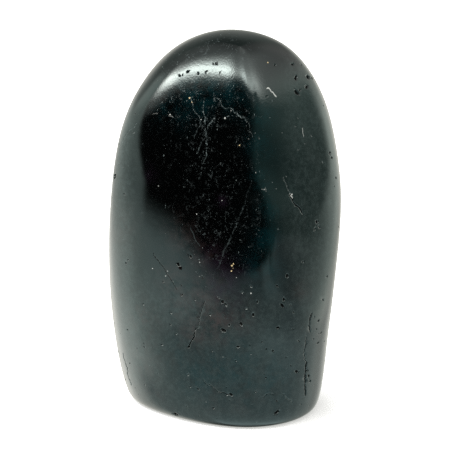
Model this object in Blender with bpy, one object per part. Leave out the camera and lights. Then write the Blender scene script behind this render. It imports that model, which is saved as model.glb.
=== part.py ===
"""Black tourmaline freeform: one palm-high piece of schorl, sawn flat below and ground and
polished by hand into an upright rounded form that stands by itself.

Metres, +Z up. The front looks towards -Y, and the origin is on the ground under the middle
of the stone. Sizes below are in millimetres.
"""

import math

import bpy
import numpy as np

MM = 0.001

# The upright axis runs through the crown, and every radius is measured from a point on it
AXIS_X = 2.15
AXIS_Y = 1.75
CORE_HEIGHT = 46.0
CROWN_HEIGHT = 104.0

# Outlines of the rounded body, crown to base: distance from the axis, and height.
# The last point of each lies under the base cut, and only carries the wall down through it.
LEFT_OUTLINE = (
    (15.1, 98.5), (23.7, 89.5), (31.4, 79.0), (34.6, 66.0),
    (35.3, 48.0), (34.1, 30.0), (31.6, 12.0), (25.4, -6.0),
)
RIGHT_OUTLINE = (
    (17.2, 98.5), (24.8, 89.5), (28.4, 79.0), (30.0, 66.0),
    (28.3, 48.0), (26.9, 30.0), (25.6, 12.0), (21.5, -6.0),
)
FRONT_OUTLINE = (
    (13.2, 98.5), (18.8, 90.5), (22.9, 80.0), (25.4, 66.0),
    (26.0, 46.0), (24.7, 30.0), (22.4, 12.0), (18.9, -6.0),
)
BACK_OUTLINE = (
    (12.2, 98.5), (17.0, 90.5), (19.6, 80.0), (20.8, 64.0),
    (20.6, 46.0), (19.8, 28.0), (18.6, 12.0), (16.0, -6.0),
)
BELOW_BASE = 22.0

# The oval section is turned, so that its broad side looks to the front left, and it is a
# little square. Both fade out over the crown, above the first polar angle. Between the other
# two, the turn drops to its value at the base, and the section becomes a plain oval.
SECTION_TURN = 0.33
BASE_TURN = 0.11
SQUARENESS = 0.08
CROWN_ANGLE = 62.0
TURNING_ANGLES = (60.0, 165.0)

# Ground faces: azimuth from the front (positive to the right), upward tilt, distance from
# the core point, and the radii of their slight doming across and along the stone
FRONT_LEFT_FACE = dict(azimuth=-24.0, tilt=6.5, distance=20.6, across=120.0, along=300.0)
RIGHT_FACE = dict(azimuth=32.0, tilt=9.5, distance=26.3, across=75.0, along=240.0)
BACK_LEFT_FACE = dict(azimuth=-146.0, tilt=4.0, distance=27.5, across=60.0, along=300.0)
BACK_RIGHT_FACE = dict(azimuth=164.0, tilt=6.0, distance=20.5, across=90.0, along=240.0)

# The ridge between the two front faces wanders from side to side as it runs up the stone
RIDGE_AZIMUTH = 19.0
RIDGE_REACH = 26.0
WANDER = 1.0
WANDER_LENGTH = 38.0
WANDER_HEIGHT = 60.0
WANDER_SPAN = (46.0, 92.0)
WANDER_FADE = 5.0

# How tightly neighbouring surfaces meet: a higher power leaves a crisper ridge
RIDGE_POWER = 70.0
BACK_RIDGE_POWER = 34.0
BODY_POWER = 20.0
BASE_POWER = 42.0

# The rounded foot is cut off at this height, and what lies within the second value of the
# cut is flat. The rim of the flat base is looked for between these distances from the axis.
FOOT_CUT = 0.03
FLAT_SNAP = 0.0001
RIM_SEARCH = (5.0, 45.0)
HALVINGS = 40

# Layout of the skin's cells: a domed top of this half width, half depth, shoulder height and
# rise, then a wall with shorter rows near the base, then the flat base
TOP_HALF_WIDTH = 26.0
TOP_HALF_DEPTH = 18.0
TOP_SHOULDER = 88.0
TOP_RISE = 15.0
SIDE_CELLS = 15
WALL_ROWS = 34
ROW_CROWDING = 1.25

# Cells are halved down to this size where a mark comes within the margin, plus a share of
# their length. The floor of a mark is flat, and its walls rise at the pace of the last value.
MARK_CELL = 0.6
MARK_MARGIN = 0.15
MARK_REACH = 0.15
BOWL_WALL = 1.3

# Where the front marks were read: their pixels in a 450 x 450 picture of the front, taken
# from this far off and this far above the level, with this focal length in pixels
PICTURE_MIDDLE = 225.0
PICTURE_FOCUS = 1575.0
PICTURE_RISE = 17.0
PICTURE_DISTANCE = 420.0
PICTURE_AIM = (0.35, -3.65, 52.5)

# A distance from the middle that is well outside the stone
OUTSIDE = 60.0

# Open pits on the front: pixel across and down, then width and depth
FRONT_PITS = (
    (297.0, 92.5, 1.5, 0.45), (308.0, 77.0, 1.1, 0.4), (307.0, 87.0, 1.0, 0.4),
    (296.0, 77.5, 1.0, 0.4), (282.5, 305.5, 1.3, 0.5), (284.0, 299.5, 0.9, 0.35),
    (178.0, 264.0, 1.0, 0.4), (222.5, 302.0, 1.1, 0.35), (223.0, 330.5, 1.0, 0.4),
    (241.0, 324.0, 0.9, 0.35), (278.0, 328.0, 0.9, 0.35), (287.5, 276.0, 1.0, 0.4),
    (253.0, 315.0, 0.9, 0.35), (297.0, 372.0, 0.9, 0.35), (277.0, 412.5, 1.0, 0.35),
    (176.0, 414.5, 1.6, 0.6), (114.5, 176.0, 1.2, 0.5), (316.0, 224.0, 1.9, 0.4),
    (188.0, 72.5, 0.9, 0.35),
)

# Open pits on the sides and the back: azimuth from the front, height, then width and depth
AROUND_PITS = (
    (128.0, 71.0, 1.3, 0.5), (141.0, 34.0, 1.0, 0.4), (163.0, 88.0, 1.1, 0.45),
    (172.0, 52.0, 1.6, 0.5), (178.0, 48.0, 1.0, 0.4), (-163.0, 23.0, 1.2, 0.45),
    (-147.0, 79.0, 1.0, 0.4), (-131.0, 44.0, 1.4, 0.5), (-104.0, 62.0, 1.0, 0.4),
    (-118.0, 17.0, 1.1, 0.4),
)

# Open cracks: the points they run through, then width and depth
FRONT_CRACKS = (
    (((284.0, 177.0), (288.5, 187.5), (292.5, 200.5), (300.0, 208.0), (302.5, 214.0)), 0.7, 0.35),
    (((311.0, 313.0), (311.0, 333.0), (306.0, 337.0), (305.0, 366.0), (305.5, 395.0)), 0.7, 0.35),
)
BACK_CRACKS = (
    (((-172.0, 72.0), (-175.0, 63.0), (-170.0, 55.0), (-173.0, 43.0)), 0.8, 0.4),
)

STONE_COLOUR = (0.006, 0.009, 0.009, 1.0)
STONE_ROUGHNESS = 0.1


def smooth_curve(knots, values, start_slope, end_slope, at):
    """Cubic curve through the points, with continuous curvature and given end slopes."""
    knots = np.asarray(knots, float)
    values = np.asarray(values, float)
    gaps = np.diff(knots)
    count = len(knots)
    system = np.zeros((count, count))
    target = np.zeros(count)
    system[0, 0] = 1.0
    target[0] = start_slope
    system[-1, -1] = 1.0
    target[-1] = end_slope
    for i in range(1, count - 1):
        system[i, i - 1] = 1.0 / gaps[i - 1]
        system[i, i] = 2.0 / gaps[i - 1] + 2.0 / gaps[i]
        system[i, i + 1] = 1.0 / gaps[i]
        target[i] = 3.0 * (
            (values[i] - values[i - 1]) / gaps[i - 1] ** 2
            + (values[i + 1] - values[i]) / gaps[i] ** 2
        )
    slopes = np.linalg.solve(system, target)
    span = np.clip(np.searchsorted(knots, at, side="right") - 1, 0, count - 2)
    width = gaps[span]
    t = (at - knots[span]) / width
    return (
        values[span] * (1.0 + 2.0 * t) * (1.0 - t) ** 2
        + slopes[span] * width * t * (1.0 - t) ** 2
        + values[span + 1] * t * t * (3.0 - 2.0 * t)
        + slopes[span + 1] * width * t * t * (t - 1.0)
    )


def outline_radius(outline, polar):
    """Distance from the core point to an outline, at a polar angle from straight up."""
    points = [(0.0, CROWN_HEIGHT)] + list(outline) + [(0.0, -BELOW_BASE)]
    angles = [math.atan2(across, height - CORE_HEIGHT) for across, height in points]
    radii = [math.hypot(across, height - CORE_HEIGHT) for across, height in points]
    return smooth_curve(angles, radii, 0.0, 0.0, polar)


def ease(share):
    """A smooth step from 0 to 1, with no kink in its bend."""
    share = np.clip(share, 0.0, 1.0)
    return share ** 3 * (10.0 - 15.0 * share + 6.0 * share ** 2)


def body_inverse(direction):
    """One over the radius of the rounded body, along each unit direction."""
    polar = np.arccos(np.clip(direction[:, 2], -1.0, 1.0))
    flat = np.maximum(np.hypot(direction[:, 0], direction[:, 1]), 1e-9)
    side = direction[:, 0] / flat
    front = -direction[:, 1] / flat
    across = (
        outline_radius(LEFT_OUTLINE, polar) * (1.0 - side) / 2.0
        + outline_radius(RIGHT_OUTLINE, polar) * (1.0 + side) / 2.0
    )
    deep = (
        outline_radius(FRONT_OUTLINE, polar) * (1.0 + front) / 2.0
        + outline_radius(BACK_OUTLINE, polar) * (1.0 - front) / 2.0
    )
    share = ease(np.degrees(polar) / CROWN_ANGLE)
    first, last = TURNING_ANGLES
    lower = ease((np.degrees(polar) - first) / (last - first))
    turn = share * (SECTION_TURN + (BASE_TURN - SECTION_TURN) * lower)
    turned = 2.0 * turn * side * front / (across * deep)
    inverse = np.sqrt(((side / across) ** 2 + (front / deep) ** 2 - turned) / (1.0 - turn ** 2))
    fuller = SQUARENESS * share * (1.0 - lower) * (2.0 * side * front) ** 2
    return inverse / (1.0 + fuller)


def face_inverse(direction, azimuth, tilt, distance, across, along, shift=0.0):
    """One over the distance to a slightly domed ground face, along each unit direction."""
    azimuth = math.radians(azimuth)
    tilt = math.radians(tilt)
    normal = np.array((
        math.sin(azimuth) * math.cos(tilt), -math.cos(azimuth) * math.cos(tilt), math.sin(tilt),
    ))
    level = np.array((math.cos(azimuth), math.sin(azimuth), 0.0))
    upward = np.cross(level, normal)
    facing = direction @ normal
    distance = distance + shift
    doming = (direction @ level) ** 2 / (2.0 * across) + (direction @ upward) ** 2 / (2.0 * along)
    return (facing + np.sqrt(facing ** 2 + 4.0 * doming * distance)) / (2.0 * distance)


def soft_join(inverses, power):
    """Cut several surfaces by each other, with a rounded edge where they meet."""
    largest = np.max(inverses, axis=0)
    return largest * sum((inverse / largest) ** power for inverse in inverses) ** (1.0 / power)


def ridge_wander(direction, body):
    """How far the front ridge is pushed to the right, fading out on both sides of it."""
    height = CORE_HEIGHT + direction[:, 2] / body
    azimuth = np.degrees(np.arctan2(direction[:, 0], -direction[:, 1]))
    near = np.exp(-((azimuth - RIDGE_AZIMUTH) / RIDGE_REACH) ** 2)
    low, high = WANDER_SPAN
    along = 1.0 / (1.0 + np.exp((low - height) / WANDER_FADE))
    along = along / (1.0 + np.exp((height - high) / WANDER_FADE))
    return WANDER * near * along * np.cos(2.0 * math.pi * (height - WANDER_HEIGHT) / WANDER_LENGTH)


def stone_radius(direction):
    """Radius of the stone from the core point, along each unit direction."""
    body = body_inverse(direction)
    push = ridge_wander(direction, body) / 2.0
    front = soft_join(
        [
            face_inverse(direction, shift=-push, **FRONT_LEFT_FACE),
            face_inverse(direction, shift=push, **RIGHT_FACE),
        ],
        RIDGE_POWER,
    )
    back = soft_join(
        [face_inverse(direction, **BACK_LEFT_FACE), face_inverse(direction, **BACK_RIGHT_FACE)],
        BACK_RIDGE_POWER,
    )
    body = soft_join([body, front, back], BODY_POWER)
    base = np.maximum(-direction[:, 2], 1e-6) / CORE_HEIGHT
    return 1.0 / soft_join([body, base], BASE_POWER)


def core_point():
    """The point that the radii start from."""
    return np.array((AXIS_X, AXIS_Y, CORE_HEIGHT))


def stone_points(direction):
    """Points of the stone's skin in millimetres, along each unit direction."""
    points = core_point() + direction * stone_radius(direction)[:, None]
    points[:, 2] -= FOOT_CUT
    points[points[:, 2] < FLAT_SNAP, 2] = 0.0
    return points


def height_above_skin(points):
    """How far points lie outside the skin, along their radius."""
    offsets = points - core_point()
    radii = np.linalg.norm(offsets, axis=1)
    return radii - stone_radius(offsets / radii[:, None])


def first_crossing(start, step, count):
    """Walk along a line until it enters the skin, then close in on that point."""
    distances = np.arange(count)
    outside = height_above_skin(start + step * distances[:, None]) > 0.0
    entry = int(np.argmin(outside))
    low, high = entry - 1.0, float(entry)
    for _ in range(HALVINGS):
        middle = (low + high) / 2.0
        if height_above_skin((start + step * middle)[None])[0] > 0.0:
            low = middle
        else:
            high = middle
    return start + step * high


def front_point(across, down):
    """The point of the skin seen at a pixel of the front picture."""
    rise = math.radians(PICTURE_RISE)
    ahead = np.array((0.0, math.cos(rise), -math.sin(rise)))
    upward = np.array((0.0, math.sin(rise), math.cos(rise)))
    rightward = np.array((1.0, 0.0, 0.0))
    eye = np.array(PICTURE_AIM) - PICTURE_DISTANCE * ahead
    sight = (
        ahead
        + rightward * (across - PICTURE_MIDDLE) / PICTURE_FOCUS
        - upward * (down - PICTURE_MIDDLE) / PICTURE_FOCUS
    )
    near = eye + sight * (PICTURE_DISTANCE - OUTSIDE)
    return first_crossing(near, sight, int(2.0 * OUTSIDE))


def around_point(azimuth, height):
    """The point of the skin at an azimuth and a height, met from outside."""
    azimuth = math.radians(azimuth)
    outward = np.array((math.sin(azimuth), -math.cos(azimuth), 0.0))
    far = np.array((AXIS_X, AXIS_Y, height)) + outward * OUTSIDE
    return first_crossing(far, -outward, int(OUTSIDE))


def crack_points(points, spacing):
    """Points along a crack, close enough together to be followed as a line."""
    run = []
    for start, end in zip(points[:-1], points[1:]):
        pieces = max(1, int(np.linalg.norm(end - start) / spacing))
        run += [start + (end - start) * i / pieces for i in range(pieces)]
    return run + [points[-1]]


def stone_marks():
    """Every mark as its place, half width and depth; a crack is a run of them."""
    marks = [(front_point(x, y), width / 2.0, depth) for x, y, width, depth in FRONT_PITS]
    marks += [(around_point(a, h), width / 2.0, depth) for a, h, width, depth in AROUND_PITS]
    for cracks, place in ((FRONT_CRACKS, front_point), (BACK_CRACKS, around_point)):
        for corners, width, depth in cracks:
            run = crack_points([place(*corner) for corner in corners], width / 2.0)
            marks += [(point, width / 2.0, depth) for point in run]
    places = np.array([place for place, _, _ in marks])
    halves = np.array([half for _, half, _ in marks])
    depths = np.array([depth for _, _, depth in marks])
    return places, halves, depths


def base_rim(side, front):
    """How far from the axis the flat base ends, along level directions."""
    low = np.full(len(side), RIM_SEARCH[0])
    high = np.full(len(side), RIM_SEARCH[1])
    for _ in range(HALVINGS):
        middle = (low + high) / 2.0
        offsets = np.stack([side * middle, front * middle, np.full(len(side), -CORE_HEIGHT)], axis=1)
        points = stone_points(offsets / np.linalg.norm(offsets, axis=1)[:, None])
        flat = points[:, 2] <= 0.0
        low = np.where(flat, middle, low)
        high = np.where(flat, high, middle)
    return low


def round_square(cells):
    """Points of a square grid, moved so that its outline becomes a circle of radius 1."""
    line = np.linspace(-1.0, 1.0, cells + 1)
    u, v = np.meshgrid(line, line, indexing="ij")
    return np.stack([u * np.sqrt(1.0 - v ** 2 / 2.0), v * np.sqrt(1.0 - u ** 2 / 2.0)], axis=-1)


def skin_layout(cells, rows):
    """Directions and four-sided faces of a closed skin: domed top, wall and flat base."""
    disc = round_square(cells)
    across = TOP_HALF_WIDTH * disc[..., 0].ravel()
    deep = TOP_HALF_DEPTH * disc[..., 1].ravel()
    shoulder = TOP_SHOULDER - CORE_HEIGHT
    rise = TOP_RISE * (1.0 - (disc ** 2).sum(axis=-1).ravel())
    top = np.stack([across, deep, shoulder + rise], axis=1)

    reach = np.maximum(np.hypot(across, deep), 1e-9)
    rim = base_rim(across / reach, deep / reach)
    filled = rim * np.sqrt((disc ** 2).sum(axis=-1).ravel())
    base = np.stack([across / reach * filled, deep / reach * filled], axis=1)
    base = np.column_stack([base, np.full(len(base), -CORE_HEIGHT)])

    number = np.arange((cells + 1) ** 2).reshape(cells + 1, cells + 1)
    edge = np.concatenate([number[:-1, 0], number[-1, :-1], number[:0:-1, -1], number[0, :0:-1]])
    offsets = [top, base]
    rings = [edge]
    for row in range(1, rows):
        left = (1.0 - row / rows) ** ROW_CROWDING
        level = np.empty((len(edge), 3))
        level[:, :2] = base[edge, :2] + (top[edge, :2] - base[edge, :2]) * left
        level[:, 2] = left * TOP_SHOULDER - CORE_HEIGHT
        rings.append(2 * number.size + (row - 1) * len(edge) + np.arange(len(edge)))
        offsets.append(level)
    rings.append(edge + number.size)

    faces = []
    for i in range(cells):
        for j in range(cells):
            square = [number[i, j], number[i + 1, j], number[i + 1, j + 1], number[i, j + 1]]
            faces.append(square)
            faces.append([corner + number.size for corner in square[::-1]])
    for upper, lower in zip(rings[:-1], rings[1:]):
        for i in range(len(edge)):
            following = (i + 1) % len(edge)
            faces.append([upper[i], lower[i], lower[following], upper[following]])
    offsets = np.concatenate(offsets)
    return offsets / np.linalg.norm(offsets, axis=1)[:, None], np.array(faces)


def settled(points):
    """The points, moved along their radius onto the exact skin."""
    offsets = points - core_point()
    return stone_points(offsets / np.linalg.norm(offsets, axis=1)[:, None])


def split_triangles(triangles, middles):
    """Split triangles at the middles of their sides; -1 stands for a side that stays whole."""
    pieces = [triangles[(middles < 0).all(axis=1)]]
    for turn in range(3):
        a, b, c = np.roll(triangles, -turn, axis=1).T
        ab, bc, ca = np.roll(middles, -turn, axis=1).T
        one = (ab >= 0) & (bc < 0) & (ca < 0)
        two = (ab >= 0) & (bc >= 0) & (ca < 0)
        pieces += [np.stack(corners, axis=1)[one] for corners in ((a, ab, c), (ab, b, c))]
        pieces += [
            np.stack(corners, axis=1)[two] for corners in ((ab, b, bc), (a, ab, bc), (a, bc, c))
        ]
    whole = (middles >= 0).all(axis=1)
    a, b, c = triangles[whole].T
    ab, bc, ca = middles[whole].T
    corners = ((a, ab, ca), (ab, b, bc), (ca, bc, c), (ab, bc, ca))
    return np.concatenate(pieces + [np.stack(three, axis=1) for three in corners])


def split_near_marks(points, triangles, places, halves, limit):
    """Halve every side beside a mark that is longer than the limit."""
    sides = np.stack([triangles, np.roll(triangles, -1, axis=1)], axis=2).reshape(-1, 2)
    edges, which = np.unique(np.sort(sides, axis=1), axis=0, return_inverse=True)
    starts, ends = points[edges].transpose(1, 0, 2)
    along = ends - starts
    lengths = np.linalg.norm(along, axis=1)
    gap = np.full(len(edges), np.inf)
    for place, half in zip(places, halves):
        share = ((place - starts) * along).sum(axis=1) / lengths ** 2
        nearest = starts + along * np.clip(share, 0.0, 1.0)[:, None]
        gap = np.minimum(gap, np.linalg.norm(nearest - place, axis=1) - half)
    chosen = (lengths > limit) & (gap < MARK_MARGIN + MARK_REACH * lengths)
    numbers = np.full(len(edges), -1)
    numbers[chosen] = len(points) + np.arange(np.count_nonzero(chosen))
    middles = numbers[which.reshape(-1)].reshape(-1, 3)
    points = np.concatenate([points, settled((starts + along / 2.0)[chosen])])
    return points, split_triangles(triangles, middles)


def outward_normals(points, triangles):
    """Unit normals of a mesh's points."""
    first, second, third = points[triangles].transpose(1, 0, 2)
    facing = np.cross(second - first, third - first)
    normals = np.zeros_like(points)
    for corner in triangles.T:
        np.add.at(normals, corner, facing)
    return normals / np.linalg.norm(normals, axis=1)[:, None]


def press_marks(points, triangles, places, halves, depths):
    """Sink the skin into each pit and crack."""
    sink = np.zeros(len(points))
    for place, half, depth in zip(places, halves, depths):
        reach = np.linalg.norm(points - place, axis=1) / half
        sink = np.maximum(sink, depth * np.clip(BOWL_WALL * (1.0 - reach ** 2), 0.0, 1.0))
    return points - outward_normals(points, triangles) * sink[:, None]


def stone_material():
    """Polished black tourmaline."""
    material = bpy.data.materials.new("polished_tourmaline")
    material.use_nodes = True
    shader = material.node_tree.nodes["Principled BSDF"]
    shader.inputs["Base Color"].default_value = STONE_COLOUR
    shader.inputs["Roughness"].default_value = STONE_ROUGHNESS
    shader.inputs["Metallic"].default_value = 0.0
    material.diffuse_color = STONE_COLOUR
    return material


def build_stone():
    """The whole stone, as one closed body."""
    directions, squares = skin_layout(SIDE_CELLS, WALL_ROWS)
    points = stone_points(directions)
    diagonals = points[squares[:, [2, 3]]] - points[squares[:, [0, 1]]]
    shorter = np.argmin(np.linalg.norm(diagonals, axis=2), axis=1)
    squares = np.where(shorter[:, None] == 0, squares, np.roll(squares, -1, axis=1))
    triangles = np.concatenate([squares[:, [0, 1, 2]], squares[:, [0, 2, 3]]])
    places, halves, depths = stone_marks()
    for limit in (4.0 * MARK_CELL, 2.0 * MARK_CELL, MARK_CELL):
        points, triangles = split_near_marks(points, triangles, places, halves, limit)
    points = press_marks(points, triangles, places, halves, depths)
    data = bpy.data.meshes.new("tourmaline")
    data.from_pydata(points * MM, [], triangles)
    data.shade_smooth()
    data.materials.append(stone_material())
    stone = bpy.data.objects.new("tourmaline", data)
    bpy.context.scene.collection.objects.link(stone)


def main():
    """Clear the scene and build the stone."""
    for old in list(bpy.data.objects):
        bpy.data.objects.remove(old)
    build_stone()


if __name__ == "__main__":
    main()
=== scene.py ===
"""Black tourmaline freeform on a plain white floor, seen from a little above its front.

The stone's skin is built again from the same outlines, ground faces and marks as its solid,
with cells fine enough for the small pits, cracks and healed veins of its polished surface.
Lengths are in millimetres up to the point where a mesh is made, and +Z is up.
"""

import itertools
import math

import bpy
import numpy as np
from mathutils import Matrix, Vector
from mathutils.kdtree import KDTree


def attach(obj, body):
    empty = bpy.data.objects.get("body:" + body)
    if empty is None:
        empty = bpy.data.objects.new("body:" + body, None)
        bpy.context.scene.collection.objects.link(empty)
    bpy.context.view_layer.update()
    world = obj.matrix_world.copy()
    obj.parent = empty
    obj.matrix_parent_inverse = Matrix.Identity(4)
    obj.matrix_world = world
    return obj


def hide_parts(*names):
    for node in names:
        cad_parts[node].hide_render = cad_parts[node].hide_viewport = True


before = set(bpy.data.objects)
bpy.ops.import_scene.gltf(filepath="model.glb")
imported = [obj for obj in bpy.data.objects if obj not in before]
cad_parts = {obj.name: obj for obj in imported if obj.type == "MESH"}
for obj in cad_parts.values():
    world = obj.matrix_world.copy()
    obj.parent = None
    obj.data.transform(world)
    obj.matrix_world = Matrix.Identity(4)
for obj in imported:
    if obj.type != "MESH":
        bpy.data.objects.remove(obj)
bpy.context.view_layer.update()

MM = 0.001
RANDOM = np.random.default_rng(11)

# The upright axis runs through the crown, and every radius is measured from a point on it
AXIS = (2.15, 1.75)
CORE_HEIGHT = 46.0
CROWN_HEIGHT = 104.0
CORE = np.array((*AXIS, CORE_HEIGHT))

# Outlines of the rounded body, crown to base: distance from the axis, and height.
# The last point of each lies under the base cut, and only carries the wall down through it.
LEFT_OUTLINE = (
    (15.1, 98.5), (23.7, 89.5), (31.4, 79), (34.6, 66),
    (35.3, 48), (34.1, 30), (31.6, 12), (25.4, -6),
)
RIGHT_OUTLINE = (
    (17.2, 98.5), (24.8, 89.5), (28.4, 79), (30, 66),
    (28.3, 48), (26.9, 30), (25.6, 12), (21.5, -6),
)
FRONT_OUTLINE = (
    (13.2, 98.5), (18.8, 90.5), (22.9, 80), (25.4, 66),
    (26, 46), (24.7, 30), (22.4, 12), (18.9, -6),
)
BACK_OUTLINE = (
    (12.2, 98.5), (17, 90.5), (19.6, 80), (20.8, 64),
    (20.6, 46), (19.8, 28), (18.6, 12), (16, -6),
)

# All four outlines close on the axis, this far below the base
BELOW_BASE = 22.0

# The oval section is turned, so that its broad side looks to the front left, and it is a
# little square. Both fade out over the crown, above the first polar angle. Between the other
# two, the turn drops to its value at the base, and the section becomes a plain oval.
SECTION_TURN = 0.33
BASE_TURN = 0.11
SQUARENESS = 0.08
CROWN_ANGLE = 62.0
TURNING_ANGLES = (60.0, 165.0)

# Ground faces: azimuth from the front (positive to the right), upward tilt, distance from
# the core point, and the radii of their slight doming across and along the stone
FRONT_LEFT_FACE = dict(azimuth=-24.0, tilt=6.5, distance=20.6, across=120.0, along=300.0)
RIGHT_FACE = dict(azimuth=32.0, tilt=9.5, distance=26.3, across=75.0, along=240.0)
BACK_LEFT_FACE = dict(azimuth=-146.0, tilt=4.0, distance=27.5, across=60.0, along=300.0)
BACK_RIGHT_FACE = dict(azimuth=164.0, tilt=6.0, distance=20.5, across=90.0, along=240.0)

# The ridge between the two front faces wanders from side to side as it runs up the stone
RIDGE_AZIMUTH = 19.0
RIDGE_REACH = 26.0
WANDER = 1.0
WANDER_LENGTH = 38.0
WANDER_HEIGHT = 60.0
WANDER_SPAN = (46.0, 92.0)
WANDER_FADE = 5.0

# How tightly neighbouring surfaces meet: a higher power leaves a crisper ridge
RIDGE_POWER = 70.0
BACK_RIDGE_POWER = 34.0
BODY_POWER = 20.0
BASE_POWER = 42.0

# The foot is cut off flat at this height, and what is left within the second value of the cut
# is flat too. The flat's rim is looked for between two distances, by this many halvings.
FOOT_CUT = 0.03
FLAT_SNAP = 0.0001
RIM_SEARCH = (5.0, 45.0)
HALVINGS = 36

# Layout of the skin's cells: a domed top of this half width, half depth, shoulder height and
# rise, then a wall with shorter rows near the base, then the flat base. An odd number of side
# cells keeps every point off the axis, where the outlines have no direction.
TOP_HALF_WIDTH = 26.0
TOP_HALF_DEPTH = 18.0
TOP_SHOULDER = 88.0
TOP_RISE = 15.0
SIDE_CELLS = 47
WALL_ROWS = 115
ROW_CROWDING = 1.25

# In one round for each of these lengths, the longer cell sides within a mark's margin are halved
CELL_LIMITS = (0.56, 0.28, 0.14)
MARK_MARGIN = 0.06

# The camera: how far above the level and how far off, its focal length in pixels of the
# 450 x 450 picture, and the point that it looks at
PICTURE_SIZE = 450.0
PICTURE_FOCUS = 1575.0
PICTURE_RISE = 17.0
PICTURE_DISTANCE = 420.0
PICTURE_AIM = (0.35, -3.65, 52.5)
SENSOR = 36.0
CAMERA_SPAN = (0.01, 50.0)

# Places on the skin are looked for from this far outside
OUTSIDE = 60.0

# The floor: how far it reaches in metres, how white it is, and the even glow that lightens it
FLOOR_REACH = 6.0
FLOOR_WHITE = 0.55
FLOOR_GLOW = 0.5
FLOOR_GLOW_COLOUR = (1.0, 1.0, 0.96, 1.0)

# The larger open pits on the front, some a little narrower than in the solid: pixel across and
# down, then width and depth
LARGE_PITS = (
    (297, 92.5, 1.1, 0.4), (308, 77, 1.1, 0.4), (307, 87, 1, 0.4),
    (296, 77.5, 1, 0.4), (282.5, 305.5, 0.9, 0.45), (284, 299.5, 0.9, 0.35),
    (178, 264, 1, 0.4), (222.5, 302, 0.8, 0.35), (223, 330.5, 1, 0.4),
    (241, 324, 0.9, 0.35), (278, 328, 0.9, 0.35), (287.5, 276, 1, 0.4),
    (253, 315, 0.9, 0.35), (297, 372, 0.9, 0.35), (277, 412.5, 1, 0.35),
    (176, 414.5, 1, 0.5), (114.5, 176, 1.2, 0.5), (317, 222, 0.9, 0.4),
    (187.5, 71.5, 0.55, 0.4),
)

# Smaller pits on the front, in the same way
SMALL_PITS = (
    (182, 295, 0.6, 0.25), (171, 313, 0.5, 0.2), (170.5, 325, 0.5, 0.2),
    (191, 256, 0.5, 0.2), (210, 314.5, 0.6, 0.25), (226, 305, 0.6, 0.25),
    (229, 325, 0.6, 0.25), (238, 347, 0.7, 0.3), (236, 361, 0.5, 0.2),
    (291, 305, 0.5, 0.2), (294, 312.5, 0.6, 0.25), (303, 262, 0.6, 0.25),
    (257, 302, 0.6, 0.25), (242, 292.5, 0.5, 0.2), (273, 351, 0.6, 0.25),
    (309, 376, 0.9, 0.4), (307.5, 370.5, 0.6, 0.3), (310.5, 381, 0.6, 0.3),
    (188, 375, 0.5, 0.2), (190, 387, 0.5, 0.2), (314.5, 317, 0.5, 0.25),
    (198, 389, 0.6, 0.25), (189, 347, 0.6, 0.25), (277, 401, 0.6, 0.25),
    (231, 395, 0.8, 0.3), (227, 395, 0.6, 0.25), (292.5, 64, 0.7, 0.3),
    (275, 65, 0.6, 0.25), (179.5, 75.5, 0.47, 0.38), (182.5, 75.3, 0.31, 0.25),
    (198, 73.5, 0.43, 0.34), (205.5, 73, 0.31, 0.28), (206.8, 71.2, 0.27, 0.24),
    (220, 72.5, 0.25, 0.2), (213, 63.5, 0.36, 0.24), (215.5, 63.7, 0.34, 0.22),
    (330, 153, 0.7, 0.3), (331.7, 157.5, 0.6, 0.25), (300, 90, 0.6, 0.25),
    (190.5, 256.5, 0.7, 0.35), (195, 300, 0.4, 0.2), (257, 301.5, 0.6, 0.3),
    (277.5, 286, 0.6, 0.3), (251, 286.5, 0.5, 0.25), (318.5, 321, 0.6, 0.3),
    (321, 333, 0.5, 0.25), (316.5, 329, 0.5, 0.25), (318, 343, 0.6, 0.3),
    (313.5, 339, 0.45, 0.2), (319.5, 227, 0.7, 0.3), (315, 229.5, 0.6, 0.3),
    (323, 300, 0.5, 0.25), (299, 341, 0.5, 0.25), (293, 329, 0.45, 0.2),
    (262, 342, 0.5, 0.25), (286, 357, 0.5, 0.25), (266, 378, 0.5, 0.25),
    (256, 392, 0.45, 0.2), (118.5, 352, 0.5, 0.25), (111, 330, 0.5, 0.25),
    (162, 345, 0.4, 0.2), (176, 334, 0.45, 0.2), (212, 351, 0.4, 0.2),
)

# Open pits on the sides and the back: azimuth from the front, height, then width and depth
AROUND_PITS = (
    (128, 71, 1.3, 0.5), (141, 34, 1, 0.4), (163, 88, 1.1, 0.45),
    (172, 52, 1.6, 0.5), (178, 48, 1, 0.4), (-163, 23, 1.2, 0.45),
    (-147, 79, 1, 0.4), (-131, 44, 1.4, 0.5), (-104, 62, 1, 0.4),
    (-118, 17, 1.1, 0.4),
)

# Scattered small pits: how many, how wide, how deep for their width, and above what height
SCATTERED_PITS = 190
SCATTERED_WIDTH = (0.22, 0.55)
SCATTERED_DEPTH = 0.5
SCATTERED_ABOVE = 2.0

# The front has none of them above this height, and this far to both sides of this middle
CLEAN_ABOVE = 46.0
CLEAN_HALF = 16.0
CLEAN_MIDDLE = -7.0

# How many times longer than wide the pits are, and how steep their walls
PIT_STRETCH = (1.0, 1.9)
BOWL_WALL = 1.3

# The sides of pits and lines are ragged: by how much, how far out that reaches, and its size
RAGGEDNESS = 0.35
RAGGED_REACH = 1.4
PIT_RAG = 0.4
LINE_RAG = 0.5

# Lines waver off their points, in long waves and then in short ones: reach and length
LINE_WAVERS = ((0.35, 2.2), (0.2, 0.55))

# Pits and cracks get their full painted shade from these depths, and veins lie in a faint groove
PIT_SHADE_DEPTH = 0.3
CRACK_SHADE_DEPTH = 0.2
VEIN_GROOVE = 0.03

# The polished faces swell a little: reach, size and seed, and how far all of it is sunk
SWELLS = ((0.02, 11.0, 21), (0.006, 4.5, 22))
SWELL_SINK = 0.03

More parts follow.
